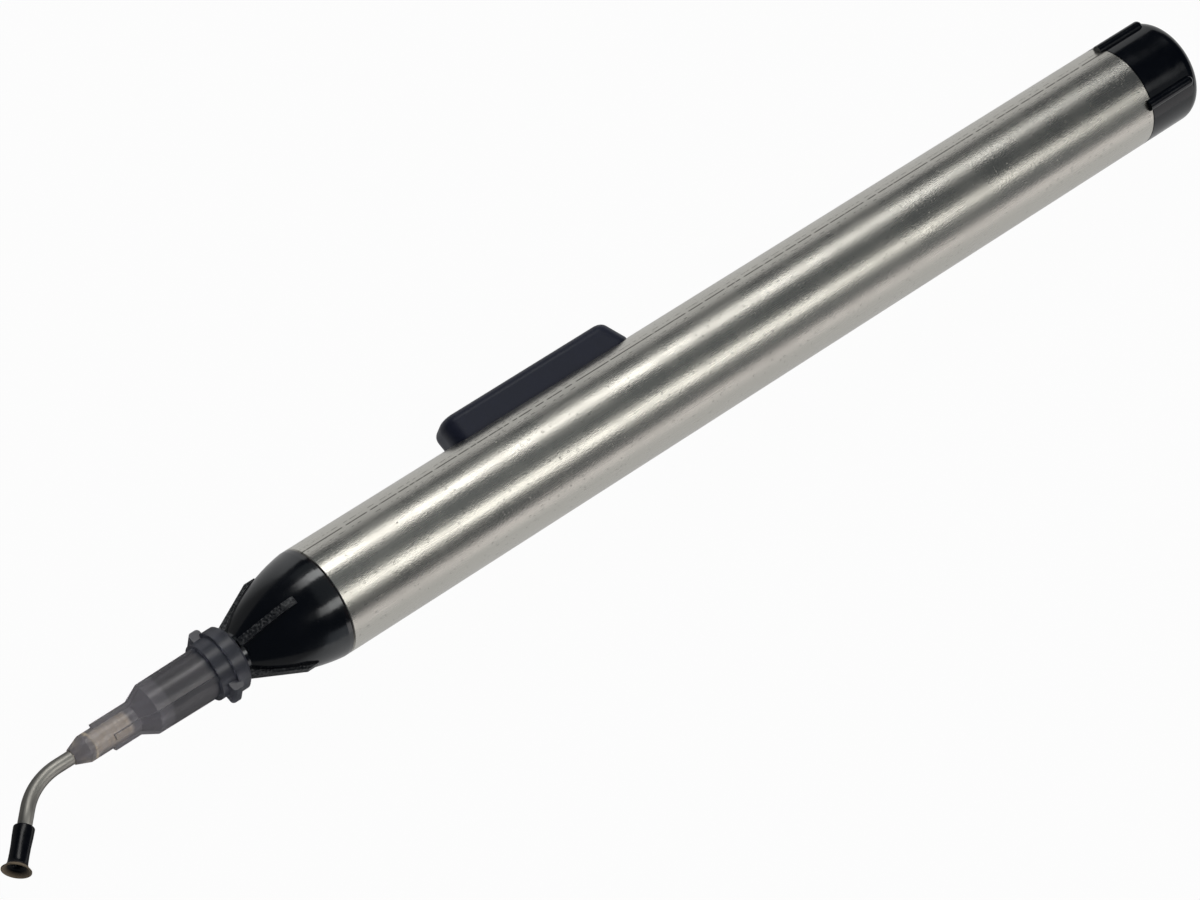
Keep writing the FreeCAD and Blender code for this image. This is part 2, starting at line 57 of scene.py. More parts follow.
bl_info = {
    "name": "Vacuum Pick Up Pen",
    "version": (1, 0, 0),
    "blender": (4, 5, 0),
    "location": "3D View > Sidebar > Pen",
    "description": "Finishes a vacuum pick up pen and lights it on a pale studio floor",
    "category": "Object",
}

MM = 0.001

barrel_low, barrel_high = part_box("barrel")
NOSE_SEAM = barrel_low.x
BARREL_RADIUS = barrel_high.z
FLOOR = -BARREL_RADIUS

# The button looks to the side, and the bent needle end a little less far round
BUTTON_TURN = math.radians(-105.4357)
TIP_TURN = math.radians(67.5643)
NEEDLE_ELBOW = Vector((NOSE_SEAM - 34.5 * MM, 0.0, 0.0))
NEEDLE_RADIUS = 0.73 * MM
NEEDLE_BORE = 0.535 * MM
NEEDLE_BEND = 7.0 * MM
NEEDLE_ANGLE = math.radians(45.0)
# Where the needle starts and ends, measured from its elbow
NEEDLE_START = 11.5 * MM
NEEDLE_END = 8.0 * MM
NEEDLE_SIDES = 64
BEND_STEPS = 40
# Turns the cup's section, drawn along X, on to the bent end of the needle
CUP_TURN = Matrix.Rotation(TIP_TURN, 3, "X") @ Matrix.Rotation(NEEDLE_ANGLE - math.pi, 3, "Y")
TUBE_WALL = 1.2 * MM
# Where the hub's dark collar ends, and where its lighter window starts
HUB_COLLAR = NOSE_SEAM - 13.95 * MM
HUB_WINDOW = NOSE_SEAM - 19.2 * MM

# The arc of the cone's side: its radius, and its centre as (distance behind the seam, height)
CONE_ARC = 19.6 * MM
CONE_CENTRE = (1.79 * MM, -13.453 * MM)

# The cup's section as (distance from the needle's elbow, radius), in millimetres
CUP_CORNERS = (
    (4.95, 0.73), (4.95, 1.05), (5.9, 1.035), (6.9, 0.985), (7.8, 0.975), (8.6, 0.992),
    (8.9, 1.02), (9.15, 1.13), (9.35, 1.30), (9.50, 1.5), (9.62, 1.5), (9.58, 1.34),
    (9.32, 0.95), (9.1, 0.675), (9.1, 0.45), (8.0, 0.45), (8.0, 0.73),
)
CUP_ROUNDED = (1, 9, 10)
# Where the cup's skirt flares into its thin lip, from the needle's elbow; the lip's amber is partly
# painted light
CUP_FLARE = 9.1 * MM

# The fins' grainy outer faces: where they end behind and in front, and half their width
FIN_BACK = NOSE_SEAM - 3.8 * MM
FIN_FRONT = NOSE_SEAM - 10.4 * MM
FIN_HALF_WIDTH = 0.45 * MM

# Azimuth and half width in degrees, and the threshold of the gaps, of each painted dark reflection
# line
DARK_REFLECTION_LINES = ((-55.5, 1.1, 0.37), (-61.5, 0.5, 0.47), (-48.5, 0.45, 0.53))

# How much of the white floor shows to the camera and through the clear hub, in place of lit paper
FLOOR_SEEN = 0.97
FLOOR_THROUGH_HUB = 0.5
# The same in mirror images, beside the barrel and beyond the nose, and how far it darkens there
FLOOR_MIRRORED = 0.5
FLOOR_MIRRORED_BEYOND = 0.75
FLOOR_DARKENED = 0.9
FLOOR_SHADE_START = NOSE_SEAM + 3.0 * MM
FLOOR_SHADE_END = NOSE_SEAM - 9.0 * MM
# How much of the white room shows through the clear hub
ROOM_THROUGH_HUB = 0.2
WHITE = (1.0, 1.0, 1.0, 1.0)

# Watts that give one square metre of lamp a radiance of 1
LAMP_WATTS = math.pi
# Length, share of the glow and tint of each box in a row, from the nose's side towards the tail.
# The boxes make the barrel's bright bands, the dim screens lift the dark bands between them.
FAR_BOXES = (
    (0.12, 0.5, (1.0, 0.985, 0.95)),
    (0.68, 1.0, (1.0, 0.985, 0.95)),
    (0.07, 0.5, (0.9, 0.95, 1.0)),
)
NEAR_BOXES = (
    (0.12, 0.55, (1.0, 0.985, 0.94)),
    (0.71, 1.0, (1.0, 0.985, 0.94)),
    (0.10, 0.6, (1.0, 0.99, 0.96)),
)
FILL_BOXES = ((0.25, 0.35, (0.9, 0.95, 1.0)), (1.2, 1.0, (1.0, 0.955, 0.94)))
TOP_SCREENS = ((0.66, 1.0, (0.93, 1.0, 1.0)), (0.2, 0.5, (0.93, 1.0, 1.0)))
NEAR_SCREENS = ((0.45, 1.0, (0.97, 1.0, 1.0)),)
# Name, direction about the pen from straight up towards -Y, angular width, glow, start, boxes
SOFTBOX_ROWS = (
    ("far_softbox", math.radians(-47.0), math.radians(17.0), 3.0, -0.19, FAR_BOXES),
    ("near_softbox", math.radians(20.0), math.radians(16.0), 2.5, -0.19, NEAR_BOXES),
    ("low_fill", math.radians(84.0), math.radians(34.0), 0.88, -0.12, FILL_BOXES),
    ("top_screen", math.radians(-13.0), math.radians(48.0), 0.125, -0.13, TOP_SCREENS),
    ("far_screen", math.radians(-67.0), math.radians(20.0), 0.13, -0.13, TOP_SCREENS),
    ("near_screen", math.radians(47.5), math.radians(36.0), 0.18, 0.42, NEAR_SCREENS),
)


class SteelSettings(bpy.types.PropertyGroup):
    colour: FloatVectorProperty(
        name="Steel Colour",
        description="Reflected colour of the bare stainless steel",
        subtype="COLOR", size=3, min=0.0, max=1.0, default=(0.62, 0.605, 0.56),
    )
    roughness: FloatProperty(
        name="Roughness",
        description="Mean roughness of the drawn tube",
        subtype="FACTOR", min=0.0, max=1.0, default=0.25,
    )
    line_width: FloatProperty(
        name="Line Width",
        description="Mean width of the lengthwise drawing lines",
        subtype="DISTANCE", unit="LENGTH", default=0.09 * MM,
    )
    line_length: FloatProperty(
        name="Line Length",
        description="Mean length of the lengthwise drawing lines",
        subtype="DISTANCE", unit="LENGTH", default=7.0 * MM,
    )
    line_depth: FloatProperty(
        name="Line Depth",
        description="Depth that the drawing lines cut into the surface",
        subtype="DISTANCE", unit="LENGTH", default=0.0012 * MM,
    )
    peel_depth: FloatProperty(
        name="Peel Depth",
        description="Depth of the soft grain that polishing leaves",
        subtype="DISTANCE", unit="LENGTH", default=0.015 * MM,
    )


class PlasticSettings(bpy.types.PropertyGroup):
    black: FloatVectorProperty(
        name="Black Plastic",
        description="Colour of the glossy black mouldings",
        subtype="COLOR", size=3, min=0.0, max=1.0, default=(0.0014, 0.0026, 0.0065),
    )
    gloss: FloatProperty(
        name="Gloss Roughness",
        description="Roughness of the glossy black mouldings",
        subtype="FACTOR", min=0.0, max=1.0, default=0.14,
    )
    button: FloatVectorProperty(
        name="Button Plastic",
        description="Colour of the satin button",
        subtype="COLOR", size=3, min=0.0, max=1.0, default=(0.027, 0.0315, 0.060),
    )
    smoke: FloatVectorProperty(
        name="Smoky Plastic",
        description="Colour that the clear needle hub is tinted with",
        subtype="COLOR", size=3, min=0.0, max=1.0, default=(0.53, 0.515, 0.55),
    )
    grain: FloatProperty(
        name="Skin Grain",
        description="Size of the fine unevenness in a moulded skin",
        subtype="DISTANCE", unit="LENGTH", default=0.12 * MM,
    )


class StageSettings(bpy.types.PropertyGroup):
    camera_place: FloatVectorProperty(
        name="Camera Place",
        description="Where the camera stands",
        subtype="TRANSLATION", size=3, unit="LENGTH",
        default=(-276.1513 * MM, 2.9935 * MM, 386.7210 * MM),
    )
    camera_turn: FloatVectorProperty(
        name="Camera Turn",
        description="How the camera is turned",
        subtype="EULER", size=3,
        default=(math.radians(14.16198), math.radians(-22.42105), math.radians(-35.07944)),
    )
    lens: FloatProperty(
        name="Lens", description="Focal length of the camera in millimetres", default=126.0,
    )
    floor_size: FloatProperty(
        name="Floor Size",
        description="Length of the square floor's side",
        subtype="DISTANCE", unit="LENGTH", default=8.0,
    )
    box_distance: FloatProperty(
        name="Softbox Distance",
        description="Distance of the long softboxes from the pen",
        subtype="DISTANCE", unit="LENGTH", default=1.1,
    )
    floor_colour: FloatVectorProperty(
        name="Floor Colour",
        description="Colour of the pale studio floor",
        subtype="COLOR", size=3, min=0.0, max=1.0, default=(0.64, 0.64, 0.63),
    )
    room_colour: FloatVectorProperty(
        name="Room Light",
        description="Light of the dim room around the stage",
        subtype="COLOR", size=3, min=0.0, max=1.0, default=(0.030, 0.034, 0.039),
    )


def add_node(tree, kind, values=None, **settings):
    """Adds one node, sets its options and fills or links its inputs."""
    node = tree.nodes.new(kind)
    for name, value in settings.items():
        setattr(node, name, value)
    for socket, value in (values or {}).items():
        if isinstance(value, bpy.types.NodeSocket):
            tree.links.new(value, node.inputs[socket])
        else:
            node.inputs[socket].default_value = value
    return node


def maths(tree, operation, *values, clamp=False):
    """One Math node; returns its output."""
    node = add_node(tree, "ShaderNodeMath", dict(enumerate(values)), operation=operation)
    node.use_clamp = clamp
    return node.outputs[0]


def remap(tree, value, low, high, to_low=0.0, to_high=1.0, smooth=False):
    """Carries a value from one range to another and holds it there."""
    values = {
        "Value": value, "From Min": low, "From Max": high, "To Min": to_low, "To Max": to_high,
    }
    kind = "SMOOTHSTEP" if smooth else "LINEAR"
    return add_node(tree, "ShaderNodeMapRange", values, interpolation_type=kind).outputs["Result"]


def mix_colour(tree, share, first, second):
    """Blends two colours; a plain colour is given as three numbers."""
    node = tree.nodes.new("ShaderNodeMix")
    node.data_type = "RGBA"
    for socket, value in ((0, share), (6, first), (7, second)):
        if isinstance(value, bpy.types.NodeSocket):
            tree.links.new(value, node.inputs[socket])
        elif socket == 0:
            node.inputs[socket].default_value = value
        else:
            node.inputs[socket].default_value = (*value, 1.0)
    return node.outputs[2]


def noise(tree, place, scale, detail=2.0, roughness=0.5, output="Fac"):
    """One Noise node; its scale is in waves per metre of object space."""
    values = {"Vector": place, "Scale": scale, "Detail": detail, "Roughness": roughness}
    return add_node(tree, "ShaderNodeTexNoise", values).outputs[output]


def start_group(name, inputs, outputs):
    """A shader node group with named inputs and outputs, ready for its nodes."""
    tree = bpy.data.node_groups.new(name, "ShaderNodeTree")
    for label, kind, default in inputs:
        socket = tree.interface.new_socket(label, in_out="INPUT", socket_type=kind)
        if default is not None:
            socket.default_value = default
    for label, kind in outputs:
        tree.interface.new_socket(label, in_out="OUTPUT", socket_type=kind)
    source = tree.nodes.new("NodeGroupInput")
    return tree, source.outputs, tree.nodes.new("NodeGroupOutput").inputs


def use_group(tree, name, **values):
    """Places a shared group; an underscore in a name stands for a space."""
    node = tree.nodes.new("ShaderNodeGroup")
    node.node_tree = bpy.data.node_groups[name]
    for label, value in values.items():
        socket = node.inputs[label.replace("_", " ")]
        if isinstance(value, bpy.types.NodeSocket):
            tree.links.new(value, socket)
        else:
            socket.default_value = value
    return node.outputs


def build_drawing_lines():
    """Fine lines along X that drawing and polishing leave on a tube, with a few stronger ones."""
    tree, given, out = start_group(
        "Drawing Lines",
        [
            ("Place", "NodeSocketVector", None),
            ("Width", "NodeSocketFloat", 0.0001),
            ("Length", "NodeSocketFloat", 0.007),
        ],
        [(label, "NodeSocketFloat") for label in ("Fine", "Strong", "Patches")],
    )
    across = maths(tree, "DIVIDE", 1.0, given["Width"])
    along = maths(tree, "DIVIDE", 1.0, given["Length"])
    scale = add_node(tree, "ShaderNodeCombineXYZ", {"X": along, "Y": across, "Z": across})
    stretched = add_node(
        tree, "ShaderNodeVectorMath", {0: given["Place"], 1: scale.outputs[0]}, operation="MULTIPLY"
    ).outputs[0]
    fine = noise(tree, stretched, 1.0, 3.0, 0.65)
    coarse = noise(tree, stretched, 0.31, 2.0, 0.5)
    patches = noise(tree, given["Place"], 160.0, 3.0, 0.6)
    tree.links.new(fine, out["Fine"])
    tree.links.new(remap(tree, coarse, 0.66, 0.76), out["Strong"])
    tree.links.new(remap(tree, patches, 0.35, 0.65), out["Patches"])


def build_pits():
    """Small scattered pits and nicks: a mask that is 1 in each pit."""
    tree, given, out = start_group(
        "Pits",
        [
            ("Place", "NodeSocketVector", None),
            ("Spacing", "NodeSocketFloat", 0.001),
            ("Size", "NodeSocketFloat", 0.1),
        ],
        [("Mask", "NodeSocketFloat")],
    )
    scale = maths(tree, "DIVIDE", 1.0, given["Spacing"])
    bent = noise(tree, given["Place"], 900.0, 1.0, 0.5, "Color")
    shift = add_node(
        tree, "ShaderNodeVectorMath", {0: bent, 1: (0.0004, 0.0004, 0.0004)}, operation="MULTIPLY"
    ).outputs[0]
    place = add_node(
        tree, "ShaderNodeVectorMath", {0: given["Place"], 1: shift}, operation="ADD"
    ).outputs[0]
    cells = add_node(tree, "ShaderNodeTexVoronoi", {"Vector": place, "Scale": scale})
    chance = add_node(tree, "ShaderNodeSeparateColor", {0: cells.outputs["Color"]}).outputs["Red"]
    reach = maths(tree, "MULTIPLY", given["Size"], remap(tree, chance, 0.45, 1.0, 0.0, 1.6))
    inside = maths(tree, "SUBTRACT", reach, cells.outputs["Distance"])
    tree.links.new(remap(tree, inside, 0.0, 0.06), out["Mask"])


def build_moulded_skin():
    """The faint unevenness of a moulded skin: a height, and a mask of duller patches."""
    tree, given, out = start_group(
        "Moulded Skin",
        [("Place", "NodeSocketVector", None), ("Grain", "NodeSocketFloat", 0.0001)],
        [("Height", "NodeSocketFloat"), ("Dull", "NodeSocketFloat")],
    )
    scale = maths(tree, "DIVIDE", 1.0, given["Grain"])
    grain = noise(tree, given["Place"], scale, 3.0, 0.55)
    waves = noise(tree, given["Place"], 220.0, 2.0, 0.5)
    height = maths(tree, "ADD", maths(tree, "MULTIPLY", grain, 0.35), waves)
    dull = noise(tree, given["Place"], 420.0, 4.0, 0.65)
    tree.links.new(height, out["Height"])
    tree.links.new(remap(tree, dull, 0.4, 0.7), out["Dull"])


def build_spark_texture():
    """The coarse grain of a spark-eroded mould face: a height, and a mask of its crests for painted
    glints.
    """
    tree, given, out = start_group(
        "Spark Texture",
        [("Place", "NodeSocketVector", None), ("Grain", "NodeSocketFloat", 0.00016)],
        [("Height", "NodeSocketFloat"), ("Crests", "NodeSocketFloat")],
    )
    scale = maths(tree, "DIVIDE", 1.0, given["Grain"])
    cells = add_node(tree, "ShaderNodeTexVoronoi", {"Vector": given["Place"], "Scale": scale})
    grain = noise(tree, given["Place"], scale, 3.0, 0.7)
    height = maths(tree, "ADD", cells.outputs["Distance"], grain)
    tree.links.new(height, out["Height"])
    tree.links.new(remap(tree, height, 1.05, 1.3), out["Crests"])


SHARED_GROUPS = (build_drawing_lines, build_pits, build_moulded_skin, build_spark_texture)


def start_material(name):
    """A material with one Principled shader; returns it with its tree, shader and object place."""
    material = bpy.data.materials.new(name)
    material.use_nodes = True
    tree = material.node_tree
    shader = tree.nodes["Principled BSDF"]
    place = tree.nodes.new("ShaderNodeTexCoord").outputs["Object"]
    return material, tree, shader, place


def set_shader(tree, shader, **values):
    """Sets or links inputs of a shader; an underscore in a name stands for a space."""
    for label, value in values.items():
        socket = shader.inputs[label.replace("_", " ")]
        if isinstance(value, bpy.types.NodeSocket):
            tree.links.new(value, socket)
        else:
            socket.default_value = value


def bump(tree, height, distance, strength=1.0, normal=None):
    """One Bump node on top of another's normal; returns its normal."""
    values = {"Height": height, "Distance": distance, "Strength": strength}
    if normal is not None:
        values["Normal"] = normal
    return add_node(tree, "ShaderNodeBump", values).outputs["Normal"]


def radius_of(tree, place):
    """Distance of a point from the pen's axis."""
    axis = add_node(tree, "ShaderNodeSeparateXYZ", {0: place})
    flat = add_node(tree, "ShaderNodeCombineXYZ", {"Y": axis.outputs["Y"], "Z": axis.outputs["Z"]})
    return add_node(
        tree, "ShaderNodeVectorMath", {0: flat.outputs[0]}, operation="LENGTH"
    ).outputs["Value"]


def coordinate(tree, place, letter):
    """One coordinate of a point."""
    return add_node(tree, "ShaderNodeSeparateXYZ", {0: place}).outputs[letter]


def reflected_dark_line(tree, azimuth, place, centre, width, gaps):
    """A broken dark line along the tube at one azimuth: a painted reflection of a dark line beside
    the pen.
    """
    off = maths(tree, "ABSOLUTE", maths(tree, "SUBTRACT", azimuth, math.radians(centre)))
    line = remap(tree, off, math.radians(width), math.radians(0.4 * width))
    along = coordinate(tree, place, "X")
    pieces = add_node(
        tree, "ShaderNodeTexNoise", {"W": maths(tree, "MULTIPLY", along, 260.0), "Detail": 3.0},
        noise_dimensions="1D",
    ).outputs["Fac"]
    return maths(tree, "MULTIPLY", line, remap(tree, pieces, gaps, gaps + 0.06))


def steel_material():
    """Bright drawn stainless tube with fine lengthwise lines, pits, handling marks and painted dark
    reflection lines.
    """
    steel = bpy.context.scene.pen_steel
    material, tree, shader, place = start_material("drawn_steel")
    lines = use_group(
        tree, "Drawing Lines", Place=place, Width=steel.line_width, Length=steel.line_length
    )
    pits = use_group(tree, "Pits", Place=place, Spacing=0.8 * MM, Size=0.11)["Mask"]
    flecks = use_group(tree, "Pits", Place=place, Spacing=0.55 * MM, Size=0.2)["Mask"]
    worn = noise(tree, place, 55.0, 4.0, 0.6)
    drawn_out = add_node(
        tree, "ShaderNodeVectorMath", {0: place, 1: (0.8, 1.0, 1.0)}, operation="MULTIPLY"
    ).outputs[0]
    peel = noise(tree, drawn_out, 4300.0, 3.0, 0.7)
    axes = add_node(tree, "ShaderNodeSeparateXYZ", {0: place}).outputs
    azimuth = maths(tree, "ARCTAN2", maths(tree, "MULTIPLY", axes["Y"], -1.0), axes["Z"])
    reflected_lines, *others = [reflected_dark_line(tree, azimuth, place, *line) for line in DARK_REFLECTION_LINES]
    for line in others:
        reflected_lines = maths(tree, "MAXIMUM", reflected_lines, line)
    clean = tuple(steel.colour)
    dull = tuple(0.84 * part for part in clean)
    colour = mix_colour(tree, maths(tree, "MULTIPLY", lines["Strong"], 0.45), clean, dull)
    # Painted reflection: dark broken lines at set azimuths, where the steel would mirror a dark
    # line beside the pen
    colour = mix_colour(tree, maths(tree, "MULTIPLY", reflected_lines, 0.95), colour, (0.09, 0.085, 0.075))
    colour = mix_colour(tree, maths(tree, "MULTIPLY", pits, 0.35), colour, (0.36, 0.35, 0.32))
    base = steel.roughness
    roughness = remap(tree, lines["Patches"], 0.0, 1.0, base - 0.03, base + 0.03)
    roughness = maths(tree, "ADD", roughness, remap(tree, lines["Fine"], 0.4, 0.7, 0.0, 0.05))
    roughness = maths(tree, "ADD", roughness, remap(tree, worn, 0.45, 0.75, 0.0, 0.04))
    height = maths(tree, "ADD", lines["Fine"], maths(tree, "MULTIPLY", lines["Strong"], -0.8))
    normal = bump(tree, height, steel.line_depth)
    normal = bump(tree, peel, steel.peel_depth, 1.0, normal)
    normal = bump(tree, flecks, 0.03 * MM, 1.0, normal)
    normal = bump(tree, maths(tree, "SUBTRACT", 1.0, pits), 0.006 * MM, 0.6, normal)
    set_shader(
        tree, shader, Base_Color=colour, Metallic=1.0, Roughness=roughness, Normal=normal,
    )
    return material


def black_plastic_material(name, tint, roughness, shine):
    """A moulded black plastic: its colour, how dull its skin is and how strongly it reflects."""
    plastic = bpy.context.scene.pen_plastic
    material, tree, shader, place = start_material(name)
    skin = use_group(tree, "Moulded Skin", Place=place, Grain=plastic.grain)
    specks = use_group(tree, "Pits", Place=place, Spacing=1.4 * MM, Size=0.05)["Mask"]
    pale = tuple(1.5 * part + 0.0015 for part in tint)
    colour = mix_colour(tree, maths(tree, "MULTIPLY", skin["Dull"], 0.35), tint, pale)
    colour = mix_colour(tree, maths(tree, "MULTIPLY", specks, 0.3), colour, (0.16, 0.16, 0.17))
    rough = remap(tree, skin["Dull"], 0.0, 1.0, roughness, roughness + 0.08)
    set_shader(
        tree, shader,
        Base_Color=colour, Roughness=rough, Specular_IOR_Level=shine,
        Specular_Tint=(0.94, 0.97, 1.0, 1.0),
        Normal=bump(tree, skin["Height"], 0.0012 * MM),
    )
    return material, tree, shader, place


def cone_radius(tree, along):
    """Radius of the bare cone at a station along X: an arc around a point behind the seam."""
    off = maths(tree, "SUBTRACT", along, NOSE_SEAM + CONE_CENTRE[0])
    squared = maths(tree, "SUBTRACT", CONE_ARC ** 2, maths(tree, "MULTIPLY", off, off))
    return maths(tree, "ADD", maths(tree, "SQRT", squared), CONE_CENTRE[1])


def nose_material():
    """Glossy black, with the grainy outer faces of the fins, pale painted glints on their crests,
    and a scuffed brown seam.
    """
    plastic = bpy.context.scene.pen_plastic
    material, tree, shader, place = black_plastic_material(
        "nose_black", tuple(plastic.black), plastic.gloss, 1.0
    )
    turned = add_node(
        tree, "ShaderNodeMapping", {"Vector": place, "Rotation": (-BUTTON_TURN, 0.0, 0.0)}
    ).outputs[0]
    axes = add_node(tree, "ShaderNodeSeparateXYZ", {0: turned}).outputs
    off_plane = maths(
        tree, "MINIMUM", maths(tree, "ABSOLUTE", axes["Y"]), maths(tree, "ABSOLUTE", axes["Z"])
    )
    on_fin = remap(tree, off_plane, FIN_HALF_WIDTH + 0.02 * MM, FIN_HALF_WIDTH)
    above = maths(tree, "SUBTRACT", radius_of(tree, place), cone_radius(tree, axes["X"]))
    on_fin = maths(tree, "MULTIPLY", on_fin, remap(tree, above, 0.02 * MM, 0.06 * MM))
    behind = remap(tree, axes["X"], FIN_BACK, FIN_BACK - 0.15 * MM)
    before = remap(tree, axes["X"], FIN_FRONT, FIN_FRONT + 0.1 * MM)
    fin = maths(tree, "MULTIPLY", maths(tree, "MULTIPLY", behind, before), on_fin)
    spark = use_group(tree, "Spark Texture", Place=place, Grain=0.27 * MM)
    crest = maths(tree, "MULTIPLY", fin, spark["Crests"])
    scuff = remap(tree, noise(tree, place, 2600.0, 4.0, 0.7), 0.42, 0.62)
    at_seam = remap(tree, axes["X"], NOSE_SEAM - 0.45 * MM, NOSE_SEAM - 0.1 * MM)
    worn = maths(tree, "MULTIPLY", scuff, at_seam)
    colour = shader.inputs["Base Color"].links[0].from_socket
    # Painted highlights: the crests of the fins' grain are paler, where softbox light would glint
    # on them
    colour = mix_colour(tree, crest, colour, (0.075, 0.078, 0.084))
    colour = mix_colour(tree, maths(tree, "MULTIPLY", worn, 0.7), colour, (0.035, 0.014, 0.010))
    rough = shader.inputs["Roughness"].links[0].from_socket
    rough = maths(tree, "ADD", rough, maths(tree, "MULTIPLY", fin, 0.2))
    normal = shader.inputs["Normal"].links[0].from_socket
    height = maths(tree, "MULTIPLY", fin, spark["Height"])
    normal = bump(tree, height, 0.08 * MM, 1.0, normal)
    set_shader(tree, shader, Base_Color=colour, Roughness=rough, Normal=normal)
    return material


def cap_material():
    """Glossy black, plain all over."""
    plastic = bpy.context.scene.pen_plastic
    return black_plastic_material("cap_black", tuple(plastic.black), 0.13, 0.5)[0]


def button_material():
    """Satin blue-black."""
    plastic = bpy.context.scene.pen_plastic
    return black_plastic_material("button_satin", tuple(plastic.button), 0.4, 0.4)[0]


def plug_material():
    """Dull black for the plug that sits inside."""
    return black_plastic_material("plug_black", (0.02, 0.02, 0.022), 0.5, 0.5)[0]


def hub_material():
    """Smoky clear plastic with a slightly frosted skin and faint flow marks."""
    plastic = bpy.context.scene.pen_plastic
    material, tree, shader, place = start_material("smoky_hub")
    skin = use_group(tree, "Moulded Skin", Place=place, Grain=plastic.grain)
    smoke = tuple(plastic.smoke)
    thick = (0.54 * smoke[0], 0.58 * smoke[1], 0.66 * smoke[2])
    thin = tuple(1.45 * part for part in smoke)
    along = coordinate(tree, place, "X")
    colour = mix_colour(tree, remap(tree, along, HUB_COLLAR - 0.6 * MM, HUB_COLLAR), smoke, thick)
    colour = mix_colour(tree, remap(tree, along, HUB_WINDOW, HUB_WINDOW - 0.3 * MM), colour, thin)
    rough = remap(tree, skin["Dull"], 0.0, 1.0, 0.28, 0.36)
    set_shader(
        tree, shader,
        Base_Color=colour, Roughness=rough, IOR=1.49,
        Normal=bump(tree, skin["Height"], 0.0006 * MM),
    )
    set_shader(tree, shader, Transmission_Weight=0.74)
    return material


def bond_material():
    """Cloudy amber cement."""
    material, tree, shader, place = start_material("amber_cement")
    cloud = noise(tree, place, 1500.0, 3.0, 0.6)
    cloudy = remap(tree, cloud, 0.35, 0.65)
    colour = mix_colour(tree, cloudy, (0.80, 0.70, 0.50), (0.95, 0.90, 0.76))
    rough = remap(tree, cloud, 0.3, 0.7, 0.3, 0.5)
    set_shader(tree, shader, Base_Color=colour, Roughness=rough, Emission_Color=colour)
    # Stands for the light that the clear hub lets through to it
    set_shader(tree, shader, Emission_Strength=0.22)
    return material


def needle_material():
    """Satin stainless needle tube with rubbed patches."""
    steel = bpy.context.scene.pen_steel
    material, tree, shader, place = start_material("needle_steel")
    rubbed = noise(tree, place, 260.0, 2.0, 0.5)
    clean = tuple(steel.colour)
    dull = tuple(0.85 * part for part in clean)
    set_shader(
        tree, shader,
        Base_Color=mix_colour(tree, remap(tree, rubbed, 0.35, 0.7), clean, dull), Metallic=1.0,
        Roughness=remap(tree, rubbed, 0.3, 0.7, 0.46, 0.52),
    )
    return material


def cup_material():
    """Black rubber, amber brown where the lip is thin: partly the rubber's own colour, partly
    painted light shining through it.
    """
    material, tree, shader, place = start_material("cup_rubber")
    skin = use_group(tree, "Moulded Skin", Place=place, Grain=0.08 * MM)
    axis = CUP_TURN @ Vector((1.0, 0.0, 0.0))
    from_elbow = add_node(
        tree, "ShaderNodeVectorMath", {0: place, 1: tuple(NEEDLE_ELBOW)}, operation="SUBTRACT"
    ).outputs[0]
    along = add_node(
        tree, "ShaderNodeVectorMath", {0: from_elbow, 1: tuple(axis)}, operation="DOT_PRODUCT"
    ).outputs["Value"]
    beside = add_node(
        tree, "ShaderNodeVectorMath", {0: from_elbow, 1: tuple(axis)}, operation="CROSS_PRODUCT"
    ).outputs[0]
    radius = add_node(
        tree, "ShaderNodeVectorMath", {0: beside}, operation="LENGTH"
    ).outputs["Value"]
    flared = remap(tree, along, CUP_FLARE, CUP_FLARE + 0.2 * MM)
    thin = maths(tree, "MULTIPLY", flared, remap(tree, radius, 0.85 * MM, 1.35 * MM))
    colour = mix_colour(tree, skin["Dull"], (0.003, 0.004, 0.008), (0.009, 0.010, 0.015))
    # Painted light: the thin lip's amber is partly the rubber's own colour and partly light shining
    # through it
    colour = mix_colour(tree, maths(tree, "MULTIPLY", thin, 0.9), colour, (0.64, 0.50, 0.35))
    set_shader(
        tree, shader,
        Base_Color=colour, Roughness=remap(tree, skin["Dull"], 0.0, 1.0, 0.2, 0.3),
        Specular_IOR_Level=0.4,
        Normal=bump(tree, skin["Height"], 0.001 * MM),
    )
    return material


def silicone_material():
    """Milky silicone with fine dust on it."""
    material, tree, shader, place = start_material("milky_silicone")
    dust = noise(tree, place, 700.0, 4.0, 0.7)
    colour = mix_colour(tree, remap(tree, dust, 0.4, 0.7), (0.52, 0.49, 0.44), (0.62, 0.60, 0.56))
    set_shader(
        tree, shader, Base_Color=colour, Roughness=remap(tree, dust, 0.3, 0.7, 0.45, 0.6),
        Normal=bump(tree, dust, 0.01 * MM),
    )
    return material


def dress(node, material):
    """Gives a carried piece its finish in every slot."""
    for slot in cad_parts[node].material_slots:
        slot.material = material


def add_piece(name, form, material, body):
    """Makes a finished object of a bmesh that is already in place."""
    mesh = bpy.data.meshes.new(name)
    form.to_mesh(mesh)
    form.free()
    mesh.materials.append(material)
    for face in mesh.polygons:
        face.use_smooth = True
    piece = bpy.data.objects.new(name, mesh)
    bpy.context.scene.collection.objects.link(piece)
    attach(piece, body)
    return piece


def join_up(form, corners):
    """A closed run of edges through (station, radius) corners; returns its vertices."""
    verts = [form.verts.new((station, radius, 0.0)) for station, radius in corners]
    for index, vert in enumerate(verts):
        form.edges.new((vert, verts[(index + 1) % len(verts)]))
    return verts


def round_corner(form, verts, radius, segments):
    """Rounds corners of a wire profile."""
    bmesh.ops.bevel(
        form, geom=verts, offset=radius, offset_type="OFFSET", segments=segments,
        profile=0.5, affect="VERTICES", material=-1,
    )


def face_outwards(form):
    """Turns every face of a closed shell to look out of its material."""
    bmesh.ops.recalc_face_normals(form, faces=form.faces[:])
    if form.calc_volume(signed=True) < 0.0:
        bmesh.ops.reverse_faces(form, faces=form.faces[:])


